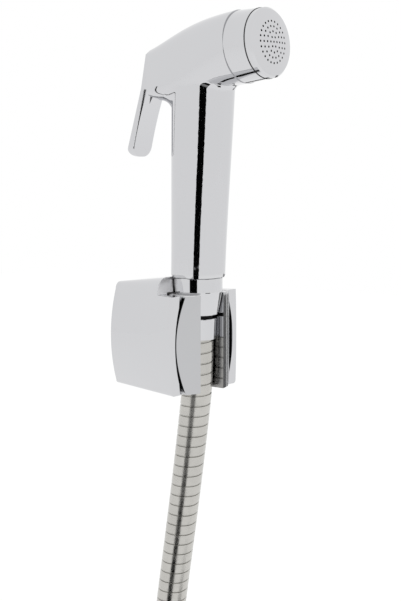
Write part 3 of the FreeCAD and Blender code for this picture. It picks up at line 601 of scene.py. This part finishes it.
# Inner plastic pieces: the valve's cartridge, the non-return valve and the spray disc.
# They are moulded in natural acetal, creamy white with faint flow lines.
acetal_dark = (0.66, 0.64, 0.58, 1)
acetal_light = (0.8, 0.79, 0.74, 1)
acetal, tree, bsdf = new_surface("natural_acetal", metallic=0.0, marks_scale=150.0, marks_strength=0.1,
                                 smooth=0.34, rough=0.5)
flow = pattern(tree, "ShaderNodeTexNoise", Scale=60.0, Distortion=1.5)
tree.links.new(two_tones(tree, flow.outputs[0], acetal_dark, acetal_light), bsdf.inputs["Base Color"])
dress(acetal, "valve_body", "check_valve", "check_poppet", "flow_disc")

# Rubber rings and washers: black nitrile with the dusty bloom that such rubber gets.
# They lie between the pieces that they seal and keep the water inside.
rubber_black = (0.014, 0.014, 0.015, 1)
rubber_bloom = (0.09, 0.088, 0.085, 1)
rubber, tree, bsdf = new_surface("black_rubber", metallic=0.0, marks_scale=500.0, marks_strength=0.2,
                                 smooth=0.55, rough=0.8)
bloom = pattern(tree, "ShaderNodeTexNoise", Scale=220.0, Detail=6.0)
dusty = tree.nodes.new("ShaderNodeMapRange")
dusty.inputs["From Min"].default_value = 0.5
dusty.inputs["From Max"].default_value = 0.8
tree.links.new(bloom.outputs[0], dusty.inputs["Value"])
tree.links.new(two_tones(tree, dusty.outputs[0], rubber_black, rubber_bloom), bsdf.inputs["Base Color"])
dress(rubber, "cap_seal", "valve_seal", "stem_ring", "hose_washer_top", "hose_washer_end")

# Cap seam ring: a black rubber ring that shows all round between the band and the spray cap, a dark piece
# that stands for the shade in the seam. It is squeezed in the joint and stands 0.25 mm proud of the cap.
head_tilt = math.radians(5.0)
head_axis = Vector((0, -math.cos(head_tilt), math.sin(head_tilt)))
head_centre = Vector((0, -0.0694, 0.1365))
joint_forward = 0.01153
joint_centre = head_centre + head_axis * joint_forward
seam_ring_radius = 0.0160
bead_radius = 0.00035
seam_ring_mesh = bpy.data.meshes.new("cap_seam_shade")
bm = bmesh.new()
bead = bmesh.ops.create_circle(bm, cap_ends=False, radius=bead_radius, segments=10)
upright = Matrix.Rotation(math.radians(90), 3, "Y")
bmesh.ops.rotate(bm, verts=bead["verts"], cent=(0, 0, 0), matrix=upright)
bmesh.ops.translate(bm, verts=bead["verts"], vec=(0, 0, seam_ring_radius))
bmesh.ops.spin(bm, geom=bm.verts[:] + bm.edges[:], cent=(0, 0, 0), axis=(0, 1, 0), angle=2 * math.pi,
               steps=96, use_merge=True)
bmesh.ops.rotate(bm, verts=bm.verts, cent=(0, 0, 0), matrix=Matrix.Rotation(-head_tilt, 3, "X"))
bmesh.ops.translate(bm, verts=bm.verts, vec=joint_centre)
bmesh.ops.remove_doubles(bm, verts=bm.verts, dist=1e-7)
bmesh.ops.recalc_face_normals(bm, faces=bm.faces)
for face in bm.faces:
    face.smooth = True
bm.to_mesh(seam_ring_mesh)
bm.free()
# A dark ring in place of the seam's shade.
seam_ring = add_object("cap_seam_shade", seam_ring_mesh)
seam_ring_mesh.materials.append(rubber)
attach(seam_ring, "set")

# Hose: interlocked metal strip wound round a rubber tube, 14.8 mm across.
# The line runs from the ferrule down to the coil, twice round it and out to the far ferrule.
coil_radius = 0.0742
coil_height = -0.262
coil_start_y = -0.0165
tail_y = -0.0471
turns = 2
steps = 16
route = [
    (0.0, -0.0420, -0.0022),
    (0.0, -0.0420, -0.0210),
    (0.0, -0.0394, -0.0420),
    (0.0, -0.0350, -0.0730),
    (0.0, -0.0300, -0.1050),
    (0.0, -0.0248, -0.1370),
    (0.0, -0.0202, -0.1690),
    (0.0, -0.0176, -0.2010),
    (0.0, -0.0168, -0.2315),
]
spread = coil_radius / math.cos(math.pi / steps)
for index in range(turns * steps):
    angle = math.pi + 2 * math.pi * (index + 0.5) / steps
    share = (index + 0.5) / (turns * steps)
    route.append((
        coil_radius + spread * math.cos(angle),
        coil_start_y + (tail_y - coil_start_y) * share,
        coil_height + spread * math.sin(angle),
    ))
for height in (-0.2770, -0.3000, -0.3240):
    route.append((0.0, tail_y, height))
line = bpy.data.curves.new("hose_line", "CURVE")
line.dimensions = "3D"
spline = line.splines.new("NURBS")
spline.points.add(len(route) - 1)
for point, place in zip(spline.points, route):
    point.co = (*place, 1.0)
spline.order_u = 3
spline.use_endpoint_u = True
spline.resolution_u = 24
line_object = bpy.data.objects.new("hose_line", line)
line_mesh = bpy.data.meshes.new_from_object(line_object)
path_points = [vertex.co.copy() for vertex in line_mesh.vertices]
bpy.data.objects.remove(line_object)
lengths = [0.0]
for first, second in zip(path_points, path_points[1:]):
    lengths.append(lengths[-1] + (second - first).length)
hose_length = lengths[-1]
side = Vector((1, 0, 0))
frames = []
for centre, ahead_point in zip(path_points, path_points[1:]):
    ahead = (ahead_point - centre).normalized()
    side = (side - ahead * side.dot(ahead)).normalized()
    frames.append((centre, ahead, side, ahead.cross(side)))


def hose_point(distance, turn, radius):
    """Point on the hose's skin, given along the line and round it."""
    index = min(max(bisect.bisect_right(lengths, distance) - 1, 0), len(frames) - 1)
    centre, ahead, side, other = frames[index]
    outward = side * math.cos(turn) + other * math.sin(turn)
    return centre + ahead * (distance - lengths[index]) + outward * radius


rib_pitch = 0.0051
rib_side = 0.0074
rib_top = 0.00742
rib_groove = 0.00695
rib_profile = ((0.0, rib_side), (0.42, rib_top), (0.84, rib_side), (0.89, rib_groove), (0.95, rib_groove))
sharp_angle = 0.5
around = 40
rows = (int(hose_length / rib_pitch) + 2) * len(rib_profile)
hose_mesh = bpy.data.meshes.new("hose_tube")
bm = bmesh.new()
grid = []
for row in range(-len(rib_profile), rows):
    offset, radius = rib_profile[row % len(rib_profile)]
    start = (row // len(rib_profile) + offset) * rib_pitch
    ring = []
    for step in range(around):
        distance = min(max(start + rib_pitch * step / around, 0.0), hose_length)
        ring.append(bm.verts.new(hose_point(distance, 2 * math.pi * step / around, radius)))
    grid.append(ring)
for index, (ring, following) in enumerate(zip(grid, grid[1:])):
    for step in range(around - 1):
        bm.faces.new((ring[step], following[step], following[step + 1], ring[step + 1]))
    wrapped = index + len(rib_profile)
    if wrapped + 1 < len(grid):
        bm.faces.new((ring[-1], following[-1], grid[wrapped + 1][0], grid[wrapped][0]))
bmesh.ops.dissolve_degenerate(bm, dist=1e-7, edges=bm.edges)
bmesh.ops.recalc_face_normals(bm, faces=bm.faces)
for face in bm.faces:
    face.smooth = True
for edge in bm.edges:
    edge.smooth = edge.calc_face_angle(0) < sharp_angle
bm.to_mesh(hose_mesh)
bm.free()
hose = add_object("hose_tube", hose_mesh)
strip_dark = (0.50, 0.49, 0.465, 1)
strip_light = (0.58, 0.57, 0.54, 1)
hose_strip, tree, bsdf = new_surface("hose_strip", metallic=1.0, marks_scale=220.0, marks_strength=0.04,
                                     smooth=0.17, rough=0.3)
smears = pattern(tree, "ShaderNodeTexNoise", Scale=40.0)
strip = two_tones(tree, smears.outputs[0], strip_dark, strip_light)
# Painted shade: the strip turns dark in the grooves between its turns.
tree.links.new(painted_joint_shade(tree, strip, reach=0.0012), bsdf.inputs["Base Color"])
hose_mesh.materials.append(hose_strip)
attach(hose, "set")
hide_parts("hose", "hose_coil", "hose_tail")

# Coil tie: a pale woven strap closed round the two turns at the foot of the coil,
# its end lapped over the front and pressed down.
strap_back = -0.0126
strap_front = -0.0433
strap_low = -0.3438
strap_high = -0.3286
strap_width = 0.009
strap_sheet = 0.0012
strap_mid = (strap_low + strap_high) / 2
strap_half = (strap_high - strap_low) / 2
arc_steps = 12
lap_first = 16
lap_lift = strap_sheet * 1.05
strap_mesh = bpy.data.meshes.new("coil_strap")
bm = bmesh.new()
loop = []
for centre_y, start in ((strap_back - strap_half, -90.0), (strap_front + strap_half, 90.0)):
    for step in range(arc_steps + 1):
        turn = math.radians(start + 180.0 / arc_steps * step)
        loop.append(bm.verts.new((
            coil_radius - strap_width / 2,
            centre_y + strap_half * math.cos(turn),
            strap_mid + strap_half * math.sin(turn),
        )))
lap = []
for under in loop[lap_first:]:
    arc_centre = Vector((under.co.x, strap_front + strap_half, strap_mid))
    lap.append(bm.verts.new(under.co + (under.co - arc_centre).normalized() * lap_lift))
edges = [bm.edges.new((first, second)) for first, second in zip(loop, loop[1:] + loop[:1])]
edges += [bm.edges.new((first, second)) for first, second in zip(lap, lap[1:])]
drawn = bmesh.ops.extrude_edge_only(bm, edges=edges)
drawn_corners = [item for item in drawn["geom"] if isinstance(item, bmesh.types.BMVert)]
bmesh.ops.translate(bm, verts=drawn_corners, vec=(strap_width, 0, 0))
cross_edges = [edge for edge in bm.edges if abs(edge.verts[0].co.x - edge.verts[1].co.x) > strap_width / 2]
bmesh.ops.subdivide_edges(bm, edges=cross_edges, cuts=5)
bmesh.ops.recalc_face_normals(bm, faces=bm.faces)
for face in bm.faces:
    face.smooth = True
bm.to_mesh(strap_mesh)
bm.free()
strap = add_object("coil_strap", strap_mesh)
thick = strap.modifiers.new("cloth_thickness", "SOLIDIFY")
thick.thickness = strap_sheet * 0.9
thick.offset = 0.0
rounded = strap.modifiers.new("soft_edges", "BEVEL")
rounded.width = 0.0002
rounded.segments = 2
weave_scale = 420.0
weave_wobble = 1.2
weave_dark = (0.62, 0.62, 0.61, 1)
weave_light = (0.84, 0.84, 0.83, 1)
strap_cloth, tree, bsdf = new_surface("woven_strap", metallic=0.0, marks_scale=900.0, marks_strength=0.3,
                                      smooth=0.75, rough=0.95)
threads = pattern(tree, "ShaderNodeTexWave", Scale=weave_scale, Distortion=weave_wobble)
threads.bands_direction = "X"
crossing = pattern(tree, "ShaderNodeTexWave", Scale=weave_scale, Distortion=weave_wobble)
crossing.bands_direction = "DIAGONAL"
weave = calculate(tree, "MULTIPLY", threads.outputs["Fac"], crossing.outputs["Fac"])
tree.links.new(two_tones(tree, weave, weave_dark, weave_light), bsdf.inputs["Base Color"])
relief = tree.nodes.new("ShaderNodeBump")
relief.inputs["Distance"].default_value = 0.0002
relief.inputs["Strength"].default_value = 0.6
tree.links.new(weave, relief.inputs["Height"])
tree.links.new(relief.outputs[0], bsdf.inputs["Normal"])
strap_mesh.materials.append(strap_cloth)
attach(strap, "set")
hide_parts("coil_tie")

# Thread of the loose nut: G1/2, fourteen turns to the inch, cut inside the nut's mouth.
# It turns with the nut.
thread_pitch = 0.001814
thread_root = 0.01046
thread_crest = 0.00962
thread_low = -0.3499
thread_turns = 2.5
steps_a_turn = 40
thread_steps = int(thread_turns * steps_a_turn)
thread_mesh = bpy.data.meshes.new("nut_thread")
bm = bmesh.new()
root_low = bm.verts.new((thread_root, tail_y, thread_low))
crest_low = bm.verts.new((thread_crest, tail_y, thread_low + thread_pitch * 0.42))
crest_high = bm.verts.new((thread_crest, tail_y, thread_low + thread_pitch * 0.58))
root_high = bm.verts.new((thread_root, tail_y, thread_low + thread_pitch))
for first, second in ((root_low, crest_low), (crest_low, crest_high), (crest_high, root_high)):
    bm.edges.new((first, second))
bmesh.ops.spin(bm, geom=bm.verts[:] + bm.edges[:], cent=(0, tail_y, 0), axis=(0, 0, 1),
               dvec=(0, 0, thread_pitch * thread_turns / thread_steps), angle=2 * math.pi * thread_turns,
               steps=thread_steps)
bmesh.ops.remove_doubles(bm, verts=bm.verts, dist=1e-6)
bmesh.ops.recalc_face_normals(bm, faces=bm.faces)
bm.to_mesh(thread_mesh)
bm.free()
thread = add_object("nut_thread", thread_mesh)
thread_mesh.materials.append(chrome)
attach(thread, "inlet_nut")
